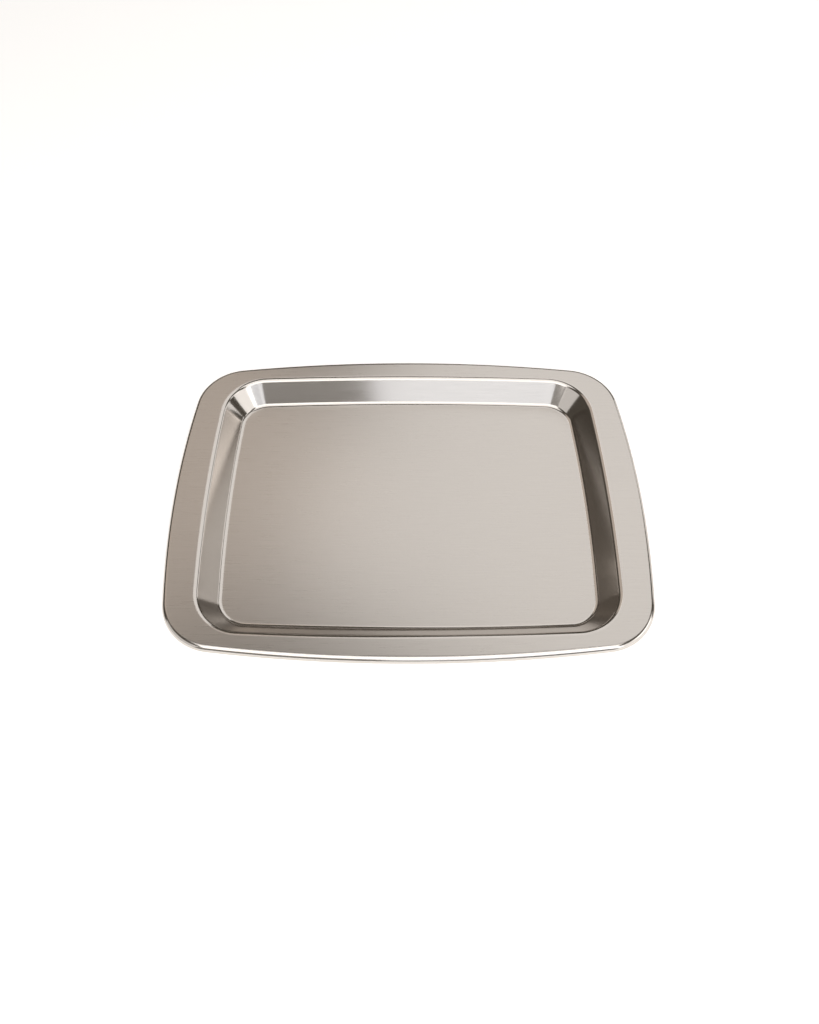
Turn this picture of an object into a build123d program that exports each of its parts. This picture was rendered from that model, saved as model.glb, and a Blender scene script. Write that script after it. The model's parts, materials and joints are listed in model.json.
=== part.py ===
"""Counting tray pressed from one stainless-steel sheet, its edge rolled round a stiffening wire.

Frame: millimetres, +Z up, X along the length, Y across the width. The origin is on the
surface that the tray stands on, below the middle of the floor.
"""
import os
from math import atan2, cos, degrees, hypot, radians, sqrt, tan

from build123d import *

# Driving dimensions
LENGTH = 240.0  # over the rolled edge, end to end at mid width
WIDTH = 180.0  # over the rolled edge, front to back at mid length
SHEET = 0.7  # thickness of the pressed sheet
DEPTH = 12.5  # top of the rim down to the top of the floor
WALL_ANGLE = 55.5  # slope of the basin wall above the horizontal, degrees
WIRE_DIAMETER = 3.9  # stiffening wire inside the rolled edge
WIRE_PLAY = 0.05  # radial gap between the wire and the sheet rolled round it
WIRE_END_GAP = 0.6  # between the wire's two butted ends
CURL_TURN = 290.0  # how far the edge is rolled round the wire, degrees

# Outline of the rolled edge: four bowed sides joined by round corners
EDGE_END_BOW = 8.0  # how far each short side bows outwards
EDGE_SIDE_BOW = 9.3  # how far each long side bows outwards
EDGE_CORNER = 27.0

# Mouth of the basin, where the planes of the rim and the wall would meet
MOUTH_LENGTH = 204.8
MOUTH_WIDTH = 155.2
MOUTH_END_BOW = 3.5
MOUTH_SIDE_BOW = 2.9
MOUTH_CORNER = 23.0

# Bends, measured on the upper face of the sheet
LIP_BEND = 3.0  # over the lip, from the rim into the wall
FLOOR_BEND = 2.8  # from the wall into the floor
LAND = 1.0  # flat strip that the bent section keeps beyond each bend

# Sizes that follow
RIM_Z = SHEET + DEPTH
CURL_BORE = WIRE_DIAMETER / 2 + WIRE_PLAY
CURL_RADIUS = CURL_BORE + SHEET
HALF_BEND = tan(radians(WALL_ANGLE / 2))
WALL_RUN = DEPTH / tan(radians(WALL_ANGLE))
RIM_INNER = LIP_BEND * HALF_BEND + LAND
FLOOR_OUTER = -WALL_RUN - FLOOR_BEND * HALF_BEND - LAND


def bow_radius(half_chord, bow):
    """Radius of the arc that rises by bow at the middle of its chord."""
    return (half_chord**2 + bow**2) / (2 * bow)


class Outline:
    """A rectangle with bowed sides and round corners: eight arcs, each tangent to the next.

    An arc is (centre x, centre y, radius, first angle, last angle), in degrees. Moving the
    outline outwards only lengthens the radii, because the centres stay where they are.
    """

    def __init__(self, length, width, end_bow, side_bow, corner):
        end_radius = bow_radius(width / 2, end_bow)
        side_radius = bow_radius(length / 2, side_bow)
        end_x = length / 2 - end_radius
        side_y = width / 2 - side_radius

        # The corner's centre lies at a known distance from both side centres.
        gap = hypot(end_x, side_y)
        to_side = side_radius - corner
        along = (gap**2 + to_side**2 - (end_radius - corner) ** 2) / (2 * gap)
        across = sqrt(to_side**2 - along**2)
        corner_x = (end_x * along - side_y * across) / gap
        corner_y = side_y - (side_y * along + end_x * across) / gap

        end_angle = degrees(atan2(corner_y, corner_x - end_x))
        side_angle = degrees(atan2(corner_y - side_y, corner_x))
        self.arcs = []
        for turn, flip in ((0, 1), (180, 1), (180, -1), (360, -1)):
            sign_x = cos(radians(turn))
            first, last = sorted((turn + flip * end_angle, turn + flip * side_angle))
            self.arcs.append((sign_x * corner_x, flip * sign_x * corner_y, corner, first, last))
        for turn in (0, 180):
            sign = cos(radians(turn))
            self.arcs.append((sign * end_x, 0, end_radius, turn - end_angle, turn + end_angle))
            first, last = turn + side_angle, turn + 180 - side_angle
            self.arcs.append((0, sign * side_y, side_radius, first, last))

    def face(self, offset):
        """The flat region inside the outline, moved outwards by offset."""
        return make_face(
            [
                CenterArc((x, y), radius + offset, first, last - first)
                for x, y, radius, first, last in self.arcs
            ]
        )

    def ring(self, section):
        """Solids that carry a section, drawn as (distance outwards, height), along every arc."""
        solids = []
        for x, y, radius, first, last in self.arcs:
            profile = Plane.XZ * Pos(radius, 0) * section
            solids.append(Pos(x, y) * Rot(0, 0, first) * revolve(profile, Axis.Z, last - first))
        return solids


def basin_section():
    """Section of the sheet from the floor, up the wall and over the lip to the rim."""
    shift = SHEET * HALF_BEND
    upper = FilletPolyline(
        (FLOOR_OUTER, SHEET),
        (-WALL_RUN, SHEET),
        (0, RIM_Z),
        (RIM_INNER, RIM_Z),
        radius=[FLOOR_BEND, LIP_BEND],
    )
    lower = FilletPolyline(
        (FLOOR_OUTER, 0),
        (-WALL_RUN + shift, 0),
        (shift, DEPTH),
        (RIM_INNER, DEPTH),
        radius=[FLOOR_BEND + SHEET, LIP_BEND - SHEET],
    )
    ends = [Line(upper @ 0, lower @ 0), Line(upper @ 1, lower @ 1)]
    return make_face([*upper.edges(), *lower.edges(), *ends])


def curl_section():
    """Section of the rolled edge, from the top of the roll out, down and back under the rim."""
    centre = (-CURL_RADIUS, RIM_Z - CURL_RADIUS)
    outer = CenterArc(centre, CURL_RADIUS, 90, -CURL_TURN)
    inner = CenterArc(centre, CURL_BORE, 90, -CURL_TURN)
    return make_face([outer, inner, Line(outer @ 0, inner @ 0), Line(outer @ 1, inner @ 1)])


def tray():
    """The pressed sheet: floor, wall, lip, flat rim and rolled edge in one piece."""
    edge = Outline(LENGTH, WIDTH, EDGE_END_BOW, EDGE_SIDE_BOW, EDGE_CORNER)
    mouth = Outline(MOUTH_LENGTH, MOUTH_WIDTH, MOUTH_END_BOW, MOUTH_SIDE_BOW, MOUTH_CORNER)
    floor = extrude(mouth.face(FLOOR_OUTER), SHEET)
    rim = extrude(Pos(0, 0, DEPTH) * (edge.face(-CURL_RADIUS) - mouth.face(RIM_INNER)), SHEET)
    pieces = [*mouth.ring(basin_section()), rim, *edge.ring(curl_section())]
    return floor.fuse(*pieces).clean()


def rim_wire():
    """The wire inside the rolled edge, bent to the same outline, its ends butted at the back."""
    edge = Outline(LENGTH, WIDTH, EDGE_END_BOW, EDGE_SIDE_BOW, EDGE_CORNER)
    section = Pos(-CURL_RADIUS, RIM_Z - CURL_RADIUS) * Circle(WIRE_DIAMETER / 2)
    first, *others = edge.ring(section)
    gap = Pos(0, WIDTH / 2, RIM_Z - CURL_RADIUS) * Box(WIRE_END_GAP, 4 * CURL_RADIUS, 2 * CURL_RADIUS)
    return first.fuse(*others).clean() - gap


os.makedirs("parts", exist_ok=True)
for name, piece in (("tray", tray()), ("rim_wire", rim_wire())):
    export_step(piece, f"parts/{name}.step")
    size = piece.bounding_box().size
    print(f"{name}: {len(piece.solids())} solid, {piece.volume:.0f} mm3, {size}")
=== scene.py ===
# %% [markdown]
# # A pressed steel counting tray, with its edge rolled round a wire
#
# The real tray is one sheet of stainless steel, 0.7 mm thick. A press forms its floor, its sloping
# wall and its flat rim, and a second tool rolls the edge round a stiffening wire. Two pieces, then:
# the sheet and the wire. Both follow rules, so Geometry Nodes can make both of them from a few sizes.
#
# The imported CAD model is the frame. It says where everything is, in metres, with Z up.

# %% Load the frame
import json
from math import cos, hypot, pi, radians, sin, sqrt

import bmesh
import bpy
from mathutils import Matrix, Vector


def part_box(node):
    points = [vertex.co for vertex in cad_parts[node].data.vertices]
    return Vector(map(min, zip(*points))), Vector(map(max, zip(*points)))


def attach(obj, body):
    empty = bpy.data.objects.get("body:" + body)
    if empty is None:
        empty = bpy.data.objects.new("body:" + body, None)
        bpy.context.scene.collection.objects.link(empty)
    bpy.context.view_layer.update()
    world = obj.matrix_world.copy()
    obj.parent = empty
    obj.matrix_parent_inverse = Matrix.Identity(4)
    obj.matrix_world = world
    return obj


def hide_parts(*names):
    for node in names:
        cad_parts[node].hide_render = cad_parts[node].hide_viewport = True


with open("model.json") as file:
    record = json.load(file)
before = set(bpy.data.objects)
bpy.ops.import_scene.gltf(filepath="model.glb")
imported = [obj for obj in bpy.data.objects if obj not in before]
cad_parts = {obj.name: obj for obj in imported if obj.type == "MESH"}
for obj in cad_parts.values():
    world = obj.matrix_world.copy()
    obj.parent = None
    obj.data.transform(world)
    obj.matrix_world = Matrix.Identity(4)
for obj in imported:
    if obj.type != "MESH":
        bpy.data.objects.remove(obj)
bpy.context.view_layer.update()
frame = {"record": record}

# %% [markdown]
# ## Sizes
#
# What the frame can tell is read from it: the length, the width and the height of the rim from the
# tray's box, the sheet's thickness from the mount on top of the floor, and the wire from its own box.
# The shape of the bends isn't in the frame, so those sizes are named here.

# %% Sizes in metres
MM = 0.001
tray_low, tray_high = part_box("tray")
wire_low, wire_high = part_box("rim_wire")
mounts = {mount["name"]: mount for mount in frame["record"]["mounts"]}

length = tray_high.x - tray_low.x
width = tray_high.y - tray_low.y
rim_height = tray_high.z
sheet = mounts["floor_top"]["pos_m"][2]
wire_radius = (wire_high.z - wire_low.z) / 2
wire_height = (wire_high.z + wire_low.z) / 2
roll_radius = rim_height - wire_height

wall_slope = radians(55.5)
floor_bend = 2.8 * MM
lip_bend = 3.0 * MM
roll_turn = radians(290)
wire_gap = 0.6 * MM
land = 0.25 * MM
print(f"length {length:.4f}, width {width:.4f}, sheet {sheet:.4f}, roll radius {roll_radius:.5f}")

# %% [markdown]
# ## One small helper for nodes
#
# Every tree below is written with this one function. It adds a node, gives it its settings, and fills
# its inputs, by name or in order. An input gets a number, or a link from a socket or a node.

# %% Add a node
def add(tree, kind, settings=None, inputs=()):
    """Adds a node with its settings, and sets or links its inputs, by name or in order."""
    node = tree.nodes.new(kind)
    for name, value in (settings or {}).items():
        setattr(node, name, value)
    pairs = inputs.items() if isinstance(inputs, dict) else enumerate(inputs)
    for place, value in pairs:
        if isinstance(value, bpy.types.Node):
            value = value.outputs[0]
        if isinstance(value, bpy.types.NodeSocket):
            tree.links.new(value, node.inputs[place])
        else:
            node.inputs[place].default_value = value
    return node


def new_tree(name, inputs, output):
    """A Geometry Nodes tree with named inputs. Returns it with its input and output nodes."""
    tree = bpy.data.node_groups.new(name, "GeometryNodeTree")
    for title, kind in inputs:
        tree.interface.new_socket(title, in_out="INPUT", socket_type=kind)
    tree.interface.new_socket(output[0], in_out="OUTPUT", socket_type=output[1])
    return tree, tree.nodes.new("NodeGroupInput"), tree.nodes.new("NodeGroupOutput")


# %% [markdown]
# ## The outline: eight arcs
#
# Seen from above, both the rolled edge and the basin's mouth are rectangles with bowed sides and round
# corners. Each is eight arcs, and each arc is tangent to the next. A quarter of it holds half of an end
# arc, a corner arc and half of a side arc, and the rest is mirrored. An arc is kept as its centre's x
# and y and its radius. An outline that lies further out has the same centres and larger radii, which is
# just how a bend of constant section runs round a corner.

# %% The three arcs of a quarter
def quarter_arcs(length, width, end_bow, side_bow, corner):
    """The end, corner and side arcs of a bowed rectangle, each as (centre x, centre y, radius)."""
    end_radius = ((width / 2) ** 2 + end_bow**2) / (2 * end_bow)
    side_radius = ((length / 2) ** 2 + side_bow**2) / (2 * side_bow)
    end_x = length / 2 - end_radius
    side_y = width / 2 - side_radius

    # The corner's centre lies at a known distance from both of the other centres.
    apart = hypot(end_x, side_y)
    to_side = side_radius - corner
    along = (apart**2 + to_side**2 - (end_radius - corner) ** 2) / (2 * apart)
    across = sqrt(to_side**2 - along**2)
    corner_x = (end_x * along - side_y * across) / apart
    corner_y = side_y - (side_y * along + end_x * across) / apart
    return (end_x, 0, end_radius), (corner_x, corner_y, corner), (0, side_y, side_radius)


edge_end_bow, edge_side_bow, edge_corner = 8.0 * MM, 9.3 * MM, 27.0 * MM
mouth_length, mouth_width = 204.8 * MM, 155.2 * MM
mouth_end_bow, mouth_side_bow, mouth_corner = 3.5 * MM, 2.9 * MM, 23.0 * MM
edge_arcs = quarter_arcs(length, width, edge_end_bow, edge_side_bow, edge_corner)
mouth_arcs = quarter_arcs(mouth_length, mouth_width, mouth_end_bow, mouth_side_bow, mouth_corner)
for name, arcs in (("edge", edge_arcs), ("mouth", mouth_arcs)):
    print(name, "arc radii:", [round(arc[2], 4) for arc in arcs])

# %% [markdown]
# The outline becomes a node group. It takes a step round the outline and an offset outwards, and gives
# a point. Each arc has its own number of steps, so that corners get short steps and long sides long
# ones. Ping-pong folds the whole way round into one quarter, and two signs unfold it again.

# %% The outline's node group
END_STEPS, CORNER_STEPS, SIDE_STEPS = 16, 24, 24
QUARTER_STEPS = END_STEPS + CORNER_STEPS + SIDE_STEPS


def outline_group():
    """Node group: a step and an offset in, a point of a bowed rectangle out."""
    inputs = [("Step", "NodeSocketFloat"), ("Offset", "NodeSocketFloat")]
    inputs += [(f"{name} arc", "NodeSocketVector") for name in ("End", "Corner", "Side")]
    tree, given, result = new_tree("Bowed outline", inputs, ("Point", "NodeSocketVector"))
    step, offset, end_arc, corner_arc, side_arc = given.outputs[:5]

    # The normal turns from the end's middle, through both tangent points, to the side's middle.
    folded = add(tree, "ShaderNodeMath", {"operation": "PINGPONG"}, (step, QUARTER_STEPS))
    end = add(tree, "ShaderNodeSeparateXYZ", None, [end_arc])
    corner = add(tree, "ShaderNodeSeparateXYZ", None, [corner_arc])
    side = add(tree, "ShaderNodeSeparateXYZ", None, [side_arc])
    past_end = add(tree, "ShaderNodeMath", {"operation": "SUBTRACT"}, (corner.outputs[0], end.outputs[0]))
    past_side = add(tree, "ShaderNodeMath", {"operation": "SUBTRACT"}, (corner.outputs[1], side.outputs[1]))
    end_turn = add(tree, "ShaderNodeMath", {"operation": "ARCTAN2"}, (corner.outputs[1], past_end))
    side_turn = add(tree, "ShaderNodeMath", {"operation": "ARCTAN2"}, (past_side, corner.outputs[0]))
    corner_start, side_start = END_STEPS, END_STEPS + CORNER_STEPS
    turns = [
        add(tree, "ShaderNodeMapRange", None, [folded, *limits])
        for limits in (
            (0, corner_start, 0, end_turn),
            (corner_start, side_start, end_turn, side_turn),
            (side_start, QUARTER_STEPS, side_turn, pi / 2),
        )
    ]

    # Which arc the step is on.
    on_end = add(tree, "ShaderNodeMath", {"operation": "LESS_THAN"}, (folded, corner_start))
    on_side = add(tree, "ShaderNodeMath", {"operation": "GREATER_THAN"}, (folded, side_start))
    turn = add(tree, "GeometryNodeSwitch", {"input_type": "FLOAT"}, (on_side, turns[1], turns[2]))
    turn = add(tree, "GeometryNodeSwitch", {"input_type": "FLOAT"}, (on_end, turn, turns[0]))
    arc = add(tree, "GeometryNodeSwitch", {"input_type": "VECTOR"}, (on_side, corner_arc, side_arc))
    arc = add(tree, "GeometryNodeSwitch", {"input_type": "VECTOR"}, (on_end, arc, end_arc))

    # Out from the arc's centre along the normal, and back into the right quarter.
    centre = add(tree, "ShaderNodeSeparateXYZ", None, [arc])
    middle = add(tree, "ShaderNodeCombineXYZ", None, centre.outputs[:2])
    radius = add(tree, "ShaderNodeMath", {"operation": "ADD"}, (centre.outputs[2], offset))
    across = add(tree, "ShaderNodeMath", {"operation": "COSINE"}, [turn])
    along = add(tree, "ShaderNodeMath", {"operation": "SINE"}, [turn])
    normal = add(tree, "ShaderNodeCombineXYZ", None, (across, along))
    reach = add(tree, "ShaderNodeVectorMath", {"operation": "SCALE"}, {"Vector": normal, "Scale": radius})
    point = add(tree, "ShaderNodeVectorMath", {"operation": "ADD"}, (middle, reach))
    whole_turn = add(tree, "ShaderNodeMath", {"operation": "MULTIPLY"}, (step, pi / 2 / QUARTER_STEPS))
    x_side = add(tree, "ShaderNodeMath", {"operation": "COSINE"}, [whole_turn])
    y_side = add(tree, "ShaderNodeMath", {"operation": "SINE"}, [whole_turn])
    quarter = add(tree, "ShaderNodeCombineXYZ", None, (x_side, y_side))
    quarter = add(tree, "ShaderNodeVectorMath", {"operation": "SIGN"}, [quarter])
    point = add(tree, "ShaderNodeVectorMath", {"operation": "MULTIPLY"}, (point, quarter))
    tree.links.new(point.outputs[0], result.inputs[0])
    return tree


bowed_outline = outline_group()
print("outline group:", len(bowed_outline.nodes), "nodes,", 4 * QUARTER_STEPS, "steps round")

# %% [markdown]
# ## The section: bends and straight runs
#
# Cut across its edge, the sheet is a ribbon of constant thickness. It is flat in the floor, bends up into
# the wall, bends back over the lip, runs flat through the rim and rolls down round the wire. Press work
# makes only straight runs and arcs, so the ribbon's two faces are arcs about shared centres, with the
# thickness between their radii, and the straight runs are whatever lies between two bends.
#
# Each bend gets one more point a short way before and after it. Smooth shading averages the faces that
# meet in a point, and without those lands the average would tilt the flat rim and floor, and their
# reflections with them.

# %% A node group for one bend
def bend_group():
    """Node group: the points of one bend, with a land at both ends, in the plane of the section."""
    inputs = [("Steps", "NodeSocketInt"), ("Centre", "NodeSocketVector"), ("Radius", "NodeSocketFloat")]
    inputs += [("Start", "NodeSocketFloat"), ("Sweep", "NodeSocketFloat"), ("Land", "NodeSocketFloat")]
    inputs += [("On edge", "NodeSocketBool")]
    tree, given, result = new_tree("Bend", inputs, ("Points", "NodeSocketGeometry"))
    steps, centre, radius, start, sweep, land_length, on_edge = given.outputs[:7]

    count = add(tree, "ShaderNodeMath", {"operation": "ADD"}, (steps, 3))
    line = add(tree, "GeometryNodeMeshLine", None, {"Count": count})
    index = tree.nodes.new("GeometryNodeInputIndex")
    share = add(tree, "ShaderNodeMath", {"operation": "SUBTRACT"}, (index, 1))
    share = add(tree, "ShaderNodeMath", {"operation": "DIVIDE"}, (share, steps))
    inside = add(tree, "ShaderNodeClamp", None, [share])
    beyond = add(tree, "ShaderNodeMath", {"operation": "SUBTRACT"}, (share, inside))
    beyond = add(tree, "ShaderNodeMath", {"operation": "SIGN"}, [beyond])

    # On the arc, and then along its tangent for the two lands.
    angle = add(tree, "ShaderNodeMath", {"operation": "MULTIPLY_ADD"}, (inside, sweep, start))
    across = add(tree, "ShaderNodeMath", {"operation": "COSINE"}, [angle])
    up = add(tree, "ShaderNodeMath", {"operation": "SINE"}, [angle])
    normal = add(tree, "ShaderNodeCombineXYZ", None, (across, up))
    reach = add(tree, "ShaderNodeVectorMath", {"operation": "SCALE"}, {"Vector": normal, "Scale": radius})
    point = add(tree, "ShaderNodeVectorMath", {"operation": "ADD"}, (centre, reach))
    tangent = add(tree, "ShaderNodeVectorMath", {"operation": "CROSS_PRODUCT"}, ((0, 0, 1), normal))
    way = add(tree, "ShaderNodeMath", {"operation": "SIGN"}, [sweep])
    run = add(tree, "ShaderNodeMath", {"operation": "MULTIPLY"}, (beyond, way))
    run = add(tree, "ShaderNodeMath", {"operation": "MULTIPLY"}, (run, land_length))
    run = add(tree, "ShaderNodeVectorMath", {"operation": "SCALE"}, {"Vector": tangent, "Scale": run})
    point = add(tree, "ShaderNodeVectorMath", {"operation": "ADD"}, (point, run))
    placed = add(tree, "GeometryNodeSetPosition", None, {"Geometry": line, "Position": point})

    settings = {"data_type": "BOOLEAN", "domain": "POINT"}
    values = {"Geometry": placed, "Name": "on_edge", "Value": on_edge}
    marked = add(tree, "GeometryNodeStoreNamedAttribute", settings, values)
    tree.links.new(marked.outputs[0], result.inputs[0])
    return tree


bend = bend_group()
print("bend group:", len(bend.nodes), "nodes")


# %% [markdown]
# ## The pressed sheet
#
# One grid makes everything but the floor. Its columns go round the tray and its rows follow the section:
# up the upper face to the cut edge inside the roll, and back along the lower face. Each row belongs to one
# of the two outlines. Between the mouth's last row and the edge's first one lies the flat rim.
#
# A second grid makes the floor, once for each face. Its sides are the mouth's outline, moved inwards, and
# its lines run straight across from side to side. Where the grids meet, their points coincide, so merging
# by distance closes the sheet into one skin.

# %% The sheet's tree
BEND_STEPS, ROLL_STEPS = 12, 36
MERGE_DISTANCE = 0.001 * MM
SHARP_EDGE = radians(50)
SHEET_SIZES = ("Sheet", "Rim height", "Wall slope", "Floor bend", "Lip bend")
SHEET_SIZES += ("Roll radius", "Roll turn", "Land")
ARC_NAMES = ("End arc", "Corner arc", "Side arc")


def sheet_tree(material):
    """The whole pressed sheet: floor, wall, lip, rim and rolled edge, as one closed skin."""
    inputs = [(size, "NodeSocketFloat") for size in SHEET_SIZES]
    names = [f"{side} {arc.lower()}" for side in ("Mouth", "Edge") for arc in ARC_NAMES]
    inputs += [(name, "NodeSocketVector") for name in names]
    tree, given, result = new_tree("Pressed sheet", inputs, ("Mesh", "NodeSocketGeometry"))
    thickness, top, slope, floor_radius, lip_radius, roll, turn, land_length = given.outputs[:8]
    mouth_sockets, edge_sockets = given.outputs[8:11], given.outputs[11:14]
    outline = {"node_tree": bowed_outline}

    # Where the three bends have their centres, measured out from their outline and up from the bench.
    half = add(tree, "ShaderNodeMath", {"operation": "MULTIPLY"}, (slope, 0.5))
    half = add(tree, "ShaderNodeMath", {"operation": "TANGENT"}, [half])
    depth = add(tree, "ShaderNodeMath", {"operation": "SUBTRACT"}, (top, thickness))
    steepness = add(tree, "ShaderNodeMath", {"operation": "TANGENT"}, [slope])
    run = add(tree, "ShaderNodeMath", {"operation": "DIVIDE"}, (depth, steepness))
    foot = add(tree, "ShaderNodeMath", {"operation": "MULTIPLY_ADD"}, (floor_radius, half, run))
    foot = add(tree, "ShaderNodeMath", {"operation": "MULTIPLY"}, (foot, -1))
    floor_up = add(tree, "ShaderNodeMath", {"operation": "ADD"}, (thickness, floor_radius))
    floor_centre = add(tree, "ShaderNodeCombineXYZ", None, (foot, floor_up))
    lip_out = add(tree, "ShaderNodeMath", {"operation": "MULTIPLY"}, (lip_radius, half))
    lip_up = add(tree, "ShaderNodeMath", {"operation": "SUBTRACT"}, (top, lip_radius))
    lip_centre = add(tree, "ShaderNodeCombineXYZ", None, (lip_out, lip_up))
    roll_in = add(tree, "ShaderNodeMath", {"operation": "MULTIPLY"}, (roll, -1))
    roll_up = add(tree, "ShaderNodeMath", {"operation": "SUBTRACT"}, (top, roll))
    roll_centre = add(tree, "ShaderNodeCombineXYZ", None, (roll_in, roll_up))

    # The radii of the lower face, and the angles at which the bends start when it is followed back.
    floor_under = add(tree, "ShaderNodeMath", {"operation": "ADD"}, (floor_radius, thickness))
    lip_under = add(tree, "ShaderNodeMath", {"operation": "SUBTRACT"}, (lip_radius, thickness))
    roll_under = add(tree, "ShaderNodeMath", {"operation": "SUBTRACT"}, (roll, thickness))
    slope_back = add(tree, "ShaderNodeMath", {"operation": "MULTIPLY"}, (slope, -1))
    turn_back = add(tree, "ShaderNodeMath", {"operation": "MULTIPLY"}, (turn, -1))
    lip_start = add(tree, "ShaderNodeMath", {"operation": "ADD"}, (slope, pi / 2))
    wall_start = add(tree, "ShaderNodeMath", {"operation": "SUBTRACT"}, (slope, pi / 2))
    tip_start = add(tree, "ShaderNodeMath", {"operation": "SUBTRACT"}, (pi / 2, turn))

    bends = (
        (BEND_STEPS, floor_centre, floor_radius, -pi / 2, slope, False),
        (BEND_STEPS, lip_centre, lip_radius, lip_start, slope_back, False),
        (ROLL_STEPS, roll_centre, roll, pi / 2, turn_back, True),
        (ROLL_STEPS, roll_centre, roll_under, tip_start, turn, True),
        (BEND_STEPS, lip_centre, lip_under, pi / 2, slope, False),
        (BEND_STEPS, floor_centre, floor_under, wall_start, slope_back, False),
    )
    section = tree.nodes.new("GeometryNodeJoinGeometry")
    for steps, centre, radius, start, sweep, on_edge in reversed(bends):
        values = (steps, centre, radius, start, sweep, land_length, on_edge)
        points = add(tree, "GeometryNodeGroup", {"node_tree": bend}, values)
        tree.links.new(points.outputs[0], section.inputs[0])

    # The band: a column for each step round the tray and a row for each point of the section.
    size = add(tree, "GeometryNodeAttributeDomainSize", None, [section])
    rows = size.outputs["Point Count"]
    last_row = add(tree, "ShaderNodeMath", {"operation": "SUBTRACT"}, (rows, 1))
    around = 4 * QUARTER_STEPS
    values = {"Vertices X": around + 1, "Vertices Y": rows, "Size X": around, "Size Y": last_row}
    band = add(tree, "GeometryNodeMeshGrid", None, values)
    here = add(tree, "ShaderNodeSeparateXYZ", None, [tree.nodes.new("GeometryNodeInputPosition")])
    column = add(tree, "ShaderNodeMath", {"operation": "ADD"}, (here.outputs[0], around / 2))
    column = add(tree, "ShaderNodeMath", {"operation": "ROUND"}, [column])
    row = add(tree, "ShaderNodeMath", {"operation": "MULTIPLY_ADD"}, (last_row, 0.5, here.outputs[1]))
    row = add(tree, "ShaderNodeMath", {"operation": "ROUND"}, [row])
    place = tree.nodes.new("GeometryNodeInputPosition")
    mark = add(tree, "GeometryNodeInputNamedAttribute", {"data_type": "BOOLEAN"}, {"Name": "on_edge"})
    settings = {"data_type": "FLOAT_VECTOR", "domain": "POINT"}
    values = {"Geometry": section, "Value": place, "Index": row}
    drawn = add(tree, "GeometryNodeSampleIndex", settings, values)
    settings = {"data_type": "BOOLEAN", "domain": "POINT"}
    values = {"Geometry": section, "Value": mark, "Index": row}
    on_edge = add(tree, "GeometryNodeSampleIndex", settings, values)
    drawn = add(tree, "ShaderNodeSeparateXYZ", None, [drawn])
    on_mouth = add(tree, "GeometryNodeGroup", outline, (column, drawn.outputs[0], *mouth_sockets))
    on_rim = add(tree, "GeometryNodeGroup", outline, (column, drawn.outputs[0], *edge_sockets))
    plan = add(tree, "GeometryNodeSwitch", {"input_type": "VECTOR"}, (on_edge, on_mouth, on_rim))
    height = add(tree, "ShaderNodeCombineXYZ", None, {"Z": drawn.outputs[1]})
    spot = add(tree, "ShaderNodeVectorMath", {"operation": "ADD"}, (plan, height))
    band = add(tree, "GeometryNodeSetPosition", None, {"Geometry": band, "Position": spot})
    band = add(tree, "GeometryNodeFlipFaces", None, [band])

    # The floor: its corners are the middles of the mouth's corner arcs.
    corner_step = END_STEPS + CORNER_STEPS / 2
    inset = add(tree, "ShaderNodeMath", {"operation": "SUBTRACT"}, (foot, land_length))
    values = {"Size X": 2, "Size Y": 2}
    values["Vertices X"] = 2 * SIDE_STEPS + CORNER_STEPS + 1
    values["Vertices Y"] = 2 * END_STEPS + CORNER_STEPS + 1
    floor = add(tree, "GeometryNodeMeshGrid", None, values)
    grid = add(tree, "ShaderNodeSeparateXYZ", None, [tree.nodes.new("GeometryNodeInputPosition")])
    back_step = (grid.outputs[0], corner_step - QUARTER_STEPS, QUARTER_STEPS)
    back_step = add(tree, "ShaderNodeMath", {"operation": "MULTIPLY_ADD"}, back_step)
    right_step = add(tree, "ShaderNodeMath", {"operation": "MULTIPLY"}, (grid.outputs[1], corner_step))
    spots = [
        add(tree, "GeometryNodeGroup", outline, (step, inset, *mouth_sockets))
        for step in (back_step, right_step, corner_step)
    ]
    back, right, corner = [add(tree, "ShaderNodeSeparateXYZ", None, [spot]) for spot in spots]
    bulge_x = add(tree, "ShaderNodeMath", {"operation": "SUBTRACT"}, (right.outputs[0], corner.outputs[0]))
    bulge_y = add(tree, "ShaderNodeMath", {"operation": "SUBTRACT"}, (back.outputs[1], corner.outputs[1]))
    across = (grid.outputs[0], bulge_x, back.outputs[0])
    across = add(tree, "ShaderNodeMath", {"operation": "MULTIPLY_ADD"}, across)
    along = (grid.outputs[1], bulge_y, right.outputs[1])
    along = add(tree, "ShaderNodeMath", {"operation": "MULTIPLY_ADD"}, along)
    under = add(tree, "ShaderNodeCombineXYZ", None, (across, along))
    upper = add(tree, "ShaderNodeCombineXYZ", None, (across, along, thickness))
    floor_top = add(tree, "GeometryNodeSetPosition", None, {"Geometry": floor, "Position": upper})
    floor_under = add(tree, "GeometryNodeSetPosition", None, {"Geometry": floor, "Position": under})
    floor_under = add(tree, "GeometryNodeFlipFaces", None, [floor_under])

    skin = tree.nodes.new("GeometryNodeJoinGeometry")
    for part in (band, floor_top, floor_under):
        tree.links.new(part.outputs[0], skin.inputs[0])
    values = {"Geometry": skin, "Distance": MERGE_DISTANCE}
    skin = add(tree, "GeometryNodeMergeByDistance", None, values)
    end_tree(tree, skin, result, material)
    return tree


def end_tree(tree, mesh, result, material):
    """The end of both trees: smooth faces with the cut edges left sharp, real geometry, a material."""
    smooth = add(tree, "GeometryNodeSetShadeSmooth", {"domain": "FACE"}, [mesh])
    angle = tree.nodes.new("GeometryNodeInputMeshEdgeAngle")
    cut = add(tree, "ShaderNodeMath", {"operation": "GREATER_THAN"}, (angle, SHARP_EDGE))
    values = {"Geometry": smooth, "Selection": cut, "Shade Smooth": False}
    smooth = add(tree, "GeometryNodeSetShadeSmooth", {"domain": "EDGE"}, values)
    real = add(tree, "GeometryNodeRealizeInstances", None, [smooth])
    painted = add(tree, "GeometryNodeSetMaterial", None, {"Geometry": real, "Material": material})
    tree.links.new(painted.outputs[0], result.inputs[0])


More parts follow.
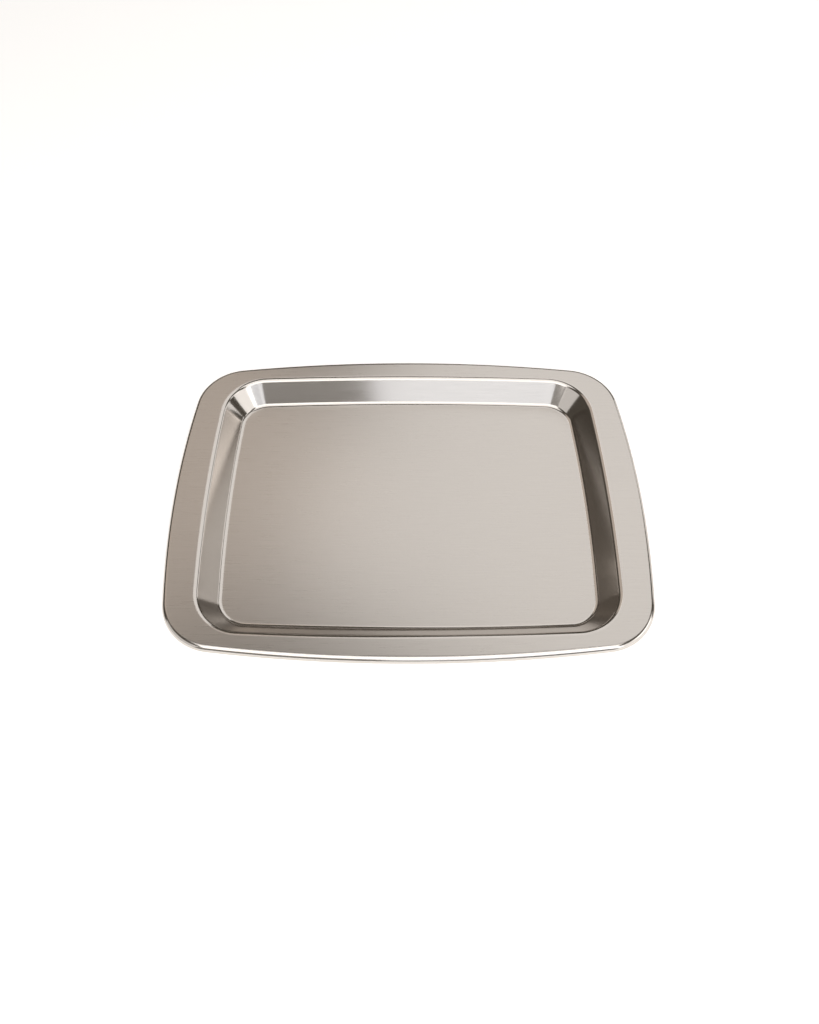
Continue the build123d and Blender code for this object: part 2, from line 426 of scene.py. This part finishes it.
# %% [markdown]
# ## From a tree to a plain mesh
#
# A modifier holds the tree and its sizes. Its inputs are set by their sockets' identifiers, then the
# result is read once as a plain mesh and the modifier goes. The checks at the end see if the mesh is
# closed, which way its faces point, and how large it is.

# %% Grow a piece from its tree
def grow(name, tree, sizes):
    """Runs the tree with the named sizes and returns its result as an object with a plain mesh."""
    seed = bpy.data.objects.new(name + "_seed", bpy.data.meshes.new(name + "_seed"))
    bpy.context.scene.collection.objects.link(seed)
    modifier = seed.modifiers.new("Shape", "NODES")
    modifier.node_group = tree
    for item in tree.interface.items_tree:
        if item.in_out == "INPUT":
            modifier[item.identifier] = sizes[item.name]
    graph = bpy.context.evaluated_depsgraph_get()
    mesh = bpy.data.meshes.new_from_object(seed.evaluated_get(graph), depsgraph=graph)
    mesh.name = name
    bpy.data.objects.remove(seed)
    piece = bpy.data.objects.new(name, mesh)
    bpy.context.scene.collection.objects.link(piece)
    return piece


def measure(piece):
    """Prints the piece's faces, its open edges, its size and its volume, which is negative if inside out."""
    shape = bmesh.new()
    shape.from_mesh(piece.data)
    loose = sum(1 for edge in shape.edges if len(edge.link_faces) != 2)
    volume = shape.calc_volume(signed=True) / MM**3
    shape.free()
    size = [round(side / MM, 2) for side in piece.dimensions]
    print(f"{piece.name}: {len(piece.data.polygons)} faces, {loose} open edges, {size} mm, {volume:.0f} mm3")


# %% [markdown]
# ## Two steels
#
# Both metals share two helpers. One turns a sRGB hex colour to the linear numbers that Blender works in,
# and the other opens a new material. Bare metal has no colour under its surface: Metallic is 1, and the
# base colour is the tint of what it mirrors. Stainless steel mirrors a little over half of the light
# and takes slightly more from blue than from red.

# %% Colour from hex
def linear(code):
    """Linear red, green, blue and alpha from a sRGB hex value such as 8C867D."""
    channels = [int(code[place : place + 2], 16) / 255 for place in (0, 2, 4)]
    return (*[c / 12.92 if c <= 0.04045 else ((c + 0.055) / 1.055) ** 2.4 for c in channels], 1)


def new_material(name):
    """A material with its tree and its main shader."""
    material = bpy.data.materials.new(name)
    material.use_nodes = True
    return material, material.node_tree, material.node_tree.nodes["Principled BSDF"]


# %% [markdown]
# ## Brushed stainless steel
#
# The sheet was brushed along its length with a fine abrasive belt before it was pressed. The floor and
# the rim keep that finish. Its scratches scatter the light across themselves, so these flats mirror the
# room as broad, soft areas, streaked along the length. The wall, the bends and the rolled edge slid over
# hard, polished tools, which burnished the scratches nearly flat, so they mirror the room crisply and
# draw the bright and dark lines that show the shape.
#
# One material can hold both, because the press did its work where the sheet is no longer level: the
# height of the surface's normal says how flat it is, and roughness and relief follow that.
#
# The scratches of such a belt lie 0.05 to 0.15 mm apart, which is too fine to show from here. They are
# drawn 0.45 mm apart, about the finest that shows. A noise, squeezed across and stretched along, makes
# them. Its height is left out, so the strokes stay where the flat sheet had them: they run along the long
# walls and down the short ones.

# %% The sheet's finish
STROKE_LENGTH, STROKE_WIDTH, STROKE_DEPTH = 20 * MM, 0.45 * MM, 0.005 * MM
LEVEL_FROM = 0.97  # upright part of the normal where a bend begins to count as flat
BURNISHED, SATIN = 0.13, 0.29  # roughness of the worked and of the flat surface
LEFT_RELIEF = 0.12  # share of the strokes' relief that burnishing leaves
STROKE_ROUGHNESS = 0.02
NOISE_LOW, NOISE_HIGH = 0.3, 0.7  # nearly all of the noise lies between these


def brushed_steel():
    """Stainless sheet: satin strokes along its length where it is flat, burnished where it was worked."""
    material, tree, shader = new_material("brushed_stainless_steel")
    shader.inputs["Metallic"].default_value = 1

    # 0 on the wall and in the bends, 1 on the floor and the rim.
    geometry = tree.nodes.new("ShaderNodeNewGeometry")
    normal = add(tree, "ShaderNodeSeparateXYZ", None, [geometry.outputs["Normal"]])
    level = add(tree, "ShaderNodeMath", {"operation": "ABSOLUTE"}, [normal.outputs["Z"]])
    settings = {"interpolation_type": "SMOOTHSTEP"}
    flat = add(tree, "ShaderNodeMapRange", settings, (level, LEVEL_FROM, 1, 0, 1))

    # The strokes of the brush.
    place = tree.nodes.new("ShaderNodeTexCoord").outputs["Object"]
    squeeze = (1 / STROKE_LENGTH, 1 / STROKE_WIDTH, 0)
    along = add(tree, "ShaderNodeMapping", None, {"Vector": place, "Scale": squeeze})
    values = {"Vector": along, "Scale": 1, "Detail": 3, "Roughness": 0.6}
    strokes = add(tree, "ShaderNodeTexNoise", None, values)

    relief = add(tree, "ShaderNodeMapRange", None, (flat, 0, 1, LEFT_RELIEF, 1))
    values = {"Strength": relief, "Distance": STROKE_DEPTH, "Height": strokes.outputs[0]}
    bump = add(tree, "ShaderNodeBump", None, values)
    gloss = add(tree, "ShaderNodeMapRange", None, (flat, 0, 1, BURNISHED, SATIN))
    limits = (strokes.outputs[0], NOISE_LOW, NOISE_HIGH, -STROKE_ROUGHNESS, STROKE_ROUGHNESS)
    change = add(tree, "ShaderNodeMapRange", None, limits)
    rough = add(tree, "ShaderNodeMath", {"operation": "ADD"}, (gloss, change))
    share = add(tree, "ShaderNodeMapRange", None, (strokes.outputs[0], NOISE_LOW, NOISE_HIGH, 0, 1))
    # A Mix node has inputs for every kind of data. Its share is 0, and its two colours are 6 and 7.
    values = {0: share, 6: linear("C4BEB8"), 7: linear("CAC4BE")}
    tint = add(tree, "ShaderNodeMix", {"data_type": "RGBA"}, values)

    tree.links.new(bump.outputs[0], shader.inputs["Normal"])
    tree.links.new(rough.outputs[0], shader.inputs["Roughness"])
    tree.links.new(tint.outputs[2], shader.inputs["Base Color"])
    return material


satin_steel = brushed_steel()
print(satin_steel.name, "strokes of", STROKE_LENGTH / MM, "by", round(STROKE_WIDTH / MM, 2), "mm")

# %% [markdown]
# ## Drawn steel wire
#
# The wire inside the rolled edge is plain drawn steel. Pulled through its die, it keeps fine lines along
# its length and a dull grey face, darker than the sheet. The roll hides nearly all of it. What shows is
# behind the narrow gap that the roll leaves on its inner side, under the rim. Its tree gives each point
# two values, how far along the wire it is and where across it, so the lines follow the wire round the
# corners. Real ones are a few hundredths of a millimetre apart and are drawn 0.3 mm apart.

# %% The wire's finish
LINE_LENGTH, LINE_WIDTH, LINE_DEPTH = 30 * MM, 0.3 * MM, 0.01 * MM
SLEEK, DULL = 0.3, 0.42  # roughness on and between the lines


def wire_steel():
    """Drawn wire: grey steel with fine lines along it."""
    material, tree, shader = new_material("drawn_steel_wire")
    shader.inputs["Metallic"].default_value = 1
    across = add(tree, "ShaderNodeAttribute", {"attribute_name": "across"}).outputs["Vector"]
    values = {"Vector": across, "Scale": 1 / LINE_WIDTH}
    across = add(tree, "ShaderNodeVectorMath", {"operation": "SCALE"}, values)
    along = add(tree, "ShaderNodeAttribute", {"attribute_name": "along"}).outputs["Fac"]
    along = add(tree, "ShaderNodeMath", {"operation": "DIVIDE"}, (along, LINE_LENGTH))
    along = add(tree, "ShaderNodeCombineXYZ", None, {"Z": along})
    place = add(tree, "ShaderNodeVectorMath", {"operation": "ADD"}, (across, along))
    lines = add(tree, "ShaderNodeTexNoise", None, {"Vector": place, "Scale": 1, "Detail": 2})
    bump = add(tree, "ShaderNodeBump", None, {"Distance": LINE_DEPTH, "Height": lines.outputs[0]})
    limits = (lines.outputs[0], NOISE_LOW, NOISE_HIGH, SLEEK, DULL)
    rough = add(tree, "ShaderNodeMapRange", None, limits)
    share = add(tree, "ShaderNodeMapRange", None, (lines.outputs[0], NOISE_LOW, NOISE_HIGH, 0, 1))
    values = {0: share, 6: linear("9C9993"), 7: linear("B0ADA7")}
    tint = add(tree, "ShaderNodeMix", {"data_type": "RGBA"}, values)
    tree.links.new(bump.outputs[0], shader.inputs["Normal"])
    tree.links.new(rough.outputs[0], shader.inputs["Roughness"])
    tree.links.new(tint.outputs[2], shader.inputs["Base Color"])
    return material


drawn_steel = wire_steel()
print(drawn_steel.name, "lines of", LINE_LENGTH / MM, "by", LINE_WIDTH / MM, "mm")

# %% Grow the sheet
sizes = {
    "Sheet": sheet,
    "Rim height": rim_height,
    "Wall slope": wall_slope,
    "Floor bend": floor_bend,
    "Lip bend": lip_bend,
    "Roll radius": roll_radius,
    "Roll turn": roll_turn,
    "Land": land,
}
for outline, arcs in (("Mouth", mouth_arcs), ("Edge", edge_arcs)):
    sizes.update({f"{outline} {arc.lower()}": values for arc, values in zip(ARC_NAMES, arcs)})
pressed_sheet = grow("pressed_sheet", sheet_tree(satin_steel), sizes)
measure(pressed_sheet)


# %% [markdown]
# ## The wire in the roll
#
# The wire is bent to the edge's outline, one roll radius further in, and its two ends meet at the back with
# a small gap. It follows a path, so the tree draws the path with the outline's node group, trims it at
# both ends, and runs a circle along it.

# %% The wire's tree
WIRE_SIDES = 24


def wire_tree(material):
    """The wire along the edge's outline, from one butted end to the other."""
    inputs = [(size, "NodeSocketFloat") for size in ("Wire radius", "Height", "Inset", "End gap")]
    inputs += [(arc, "NodeSocketVector") for arc in ARC_NAMES]
    tree, given, result = new_tree("Rolled-in wire", inputs, ("Mesh", "NodeSocketGeometry"))
    radius, height, inset, gap = given.outputs[:4]

    line = add(tree, "GeometryNodeMeshLine", None, {"Count": 4 * QUARTER_STEPS + 1})
    index = tree.nodes.new("GeometryNodeInputIndex")
    step = add(tree, "ShaderNodeMath", {"operation": "ADD"}, (index, QUARTER_STEPS))
    offset = add(tree, "ShaderNodeMath", {"operation": "MULTIPLY"}, (inset, -1))
    settings = {"node_tree": bowed_outline}
    plan = add(tree, "GeometryNodeGroup", settings, (step, offset, *given.outputs[4:7]))
    lift = add(tree, "ShaderNodeCombineXYZ", None, {"Z": height})
    spot = add(tree, "ShaderNodeVectorMath", {"operation": "ADD"}, (plan, lift))
    line = add(tree, "GeometryNodeSetPosition", None, {"Geometry": line, "Position": spot})
    path = add(tree, "GeometryNodeMeshToCurve", None, [line])
    whole = add(tree, "GeometryNodeCurveLength", None, [path])
    start = add(tree, "ShaderNodeMath", {"operation": "MULTIPLY"}, (gap, 0.5))
    end = add(tree, "ShaderNodeMath", {"operation": "SUBTRACT"}, (whole, start))
    # Inputs 4 and 5 are where the trimmed path starts and ends, as lengths.
    path = add(tree, "GeometryNodeTrimCurve", {"mode": "LENGTH"}, {0: path, 4: start, 5: end})
    ring = add(tree, "GeometryNodeCurvePrimitiveCircle", None, {"Resolution": WIRE_SIDES, "Radius": radius})

    # How far along the wire and where across it, for the drawing lines in its finish.
    length = tree.nodes.new("GeometryNodeSplineParameter").outputs["Length"]
    settings = {"data_type": "FLOAT", "domain": "POINT"}
    values = {"Geometry": path, "Name": "along", "Value": length}
    path = add(tree, "GeometryNodeStoreNamedAttribute", settings, values)
    place = tree.nodes.new("GeometryNodeInputPosition")
    settings = {"data_type": "FLOAT_VECTOR", "domain": "POINT"}
    values = {"Geometry": ring, "Name": "across", "Value": place}
    ring = add(tree, "GeometryNodeStoreNamedAttribute", settings, values)
    values = {"Curve": path, "Profile Curve": ring, "Fill Caps": True}
    wire = add(tree, "GeometryNodeCurveToMesh", None, values)
    end_tree(tree, wire, result, material)
    return tree


sizes = {"Wire radius": wire_radius, "Height": wire_height, "Inset": roll_radius, "End gap": wire_gap}
sizes.update(zip(ARC_NAMES, edge_arcs))
rim_wire = grow("rolled_in_wire", wire_tree(drawn_steel), sizes)
measure(rim_wire)

# %% [markdown]
# ## On the frame
#
# The object has no joints, so both pieces ride on the one body there is. Each stands for the CAD node of
# the same shape, and that CAD node is hidden.

# %% Ride and replace
for piece, node, slot in ((pressed_sheet, "tray", "brushed_stainless"), (rim_wire, "rim_wire", "drawn_wire")):
    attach(piece, "root")
    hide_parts(node)

# %% [markdown]
# ## The bench
#
# The tray lies on white acrylic, lit a little from below, as on a table for product pictures. Its own
# glow keeps the ground white and the shadow faint, and puts a light band under the rolled edge.

# %% A lit white bench
REACH = 3.0
BENCH_GLOW = 0.45

corners = [(x * REACH, y * REACH, 0) for x, y in ((-1, -1), (1, -1), (1, 1), (-1, 1))]
bench_mesh = bpy.data.meshes.new("bench")
bench_mesh.from_pydata(corners, [], [(0, 1, 2, 3)])
bench = bpy.data.objects.new("bench", bench_mesh)
bpy.context.scene.collection.objects.link(bench)
acrylic, tree, shader = new_material("white_acrylic")
shader.inputs["Base Color"].default_value = linear("F4F3F1")
shader.inputs["Roughness"].default_value = 0.9
shader.inputs["Emission Color"].default_value = linear("FFFFFF")
shader.inputs["Emission Strength"].default_value = BENCH_GLOW
bench_mesh.materials.append(acrylic)
print("bench:", 2 * REACH, "m wide, glow", BENCH_GLOW)

# %% [markdown]
# ## The room
#
# Metal shows little but what it mirrors. The room itself is one plain dark warm grey, so that the steel
# has something dark to mirror between the lamps. The camera sees a plain pale backdrop in its place.

# %% A plain room
ROOM = "58534C"
BACKDROP = "F0EFEC"

world = bpy.data.worlds.new("studio")
bpy.context.scene.world = world
world.use_nodes = True
tree = world.node_tree
seen = tree.nodes.new("ShaderNodeLightPath").outputs["Is Camera Ray"]
values = {0: seen, 6: linear(ROOM), 7: linear(BACKDROP)}
backdrop = add(tree, "ShaderNodeMix", {"data_type": "RGBA"}, values)
tree.links.new(backdrop.outputs[2], tree.nodes["Background"].inputs["Color"])
bpy.context.scene.view_settings.view_transform = "Standard"
print("room", ROOM, "and backdrop", BACKDROP)

# %% [markdown]
# ## The softboxes
#
# A mirror direction says where each lamp has to stand. Seen from this camera, the level floor and rim
# mirror what is behind the tray, 48 to 68 degrees up, so the main softbox hangs there. It ends above the
# tray's left side, and a dimmer, warmer one carries on from it, so the steel grows darker to the left.
# An overhead one, a little to the front, lights the bends. A key light stands on the right and sends the
# soft shadow to the left.
#
# The far wall mirrors what stands in front, about 20 degrees up. A near softbox there lights its right
# part, and a dim one further off keeps its left part from going black. A tall one above them draws the
# white lines along the bends and the rolled edge, and the dark room below them leaves dark ones. The far
# corners mirror two panels, at the right front and the left front, and the left wall mirrors a low one
# at the back right, partly by way of the floor.
#
# An area light's energy is in watts. A rectangle's brightness is its energy divided by pi and by its
# area, so the function takes a brightness, which stays the same when a size changes.

# %% Lit panels that face the tray
def softbox(name, azimuth, elevation, distance, size, brightness, colour="FFFFFF"):
    """A lit panel, its place in degrees round and above the tray, that the camera doesn't see."""
    azimuth, elevation = radians(azimuth), radians(elevation)
    way = Vector((cos(azimuth) * cos(elevation), sin(azimuth) * cos(elevation), sin(elevation)))
    data = bpy.data.lights.new(name, "AREA")
    data.shape = "RECTANGLE"
    data.size, data.size_y = size
    data.energy = brightness * pi * size[0] * size[1]
    data.color = linear(colour)[:3]
    lamp = bpy.data.objects.new(name, data)
    bpy.context.scene.collection.objects.link(lamp)
    lamp.location = way * distance
    lamp.rotation_euler = way.to_track_quat("Z", "Y").to_euler()
    lamp.visible_camera = False


# Name, azimuth, elevation, distance, size, brightness and, where it isn't white, a tint.
softbox("main_softbox", 60, 52, 1.5, (1.3, 1.3), 1.06)
softbox("fill_softbox", 134, 46, 1.5, (1.2, 0.9), 0.64, "FCF0E6")
softbox("overhead_softbox", 270, 72, 1.5, (1.6, 0.9), 1.5)
softbox("key_softbox", -8, 32, 1.5, (0.8, 0.5), 1.0)
softbox("near_softbox", -69, 23, 0.35, (0.3, 0.11), 1.15, "F0F6FF")
softbox("dim_front_softbox", -105, 20, 1.0, (1.0, 0.45), 0.27)
softbox("tall_softbox", -88, 46, 0.48, (0.62, 0.26), 2.0)
softbox("right_front_panel", -29, 17, 0.5, (0.47, 0.28), 1.4)
softbox("left_front_panel", -152, 17, 0.5, (0.38, 0.28), 0.8)
softbox("low_back_panel", 28, 12, 1.0, (0.5, 0.3), 1.1)
print("softboxes:", [lamp.name for lamp in bpy.data.lights])

# %% [markdown]
# ## The camera
#
# It looks down on the tray from in front, steeply, from a little under 0.4 m, with a short lens. That is
# close enough for the near edge to look clearly wider than the far one.

# %% Camera
LENS = 26.7
SIDE_SHIFT = 0.0107
AIM_X, AIM_Y = -4.7 * MM, -11.3 * MM
CAMERA_ELEVATION = radians(58.55)
CAMERA_DISTANCE = 382 * MM

camera_data = bpy.data.cameras.new("camera")
camera_data.lens = LENS
camera_data.shift_x = SIDE_SHIFT
camera = bpy.data.objects.new("camera", camera_data)
bpy.context.scene.collection.objects.link(camera)
bpy.context.scene.camera = camera
aim = Vector((AIM_X, AIM_Y, rim_height))
back = Vector((0, -cos(CAMERA_ELEVATION), sin(CAMERA_ELEVATION)))
camera.location = aim + back * CAMERA_DISTANCE
camera.rotation_euler = (pi / 2 - CAMERA_ELEVATION, 0, 0)
print("camera at", [round(value, 3) for value in camera.location])
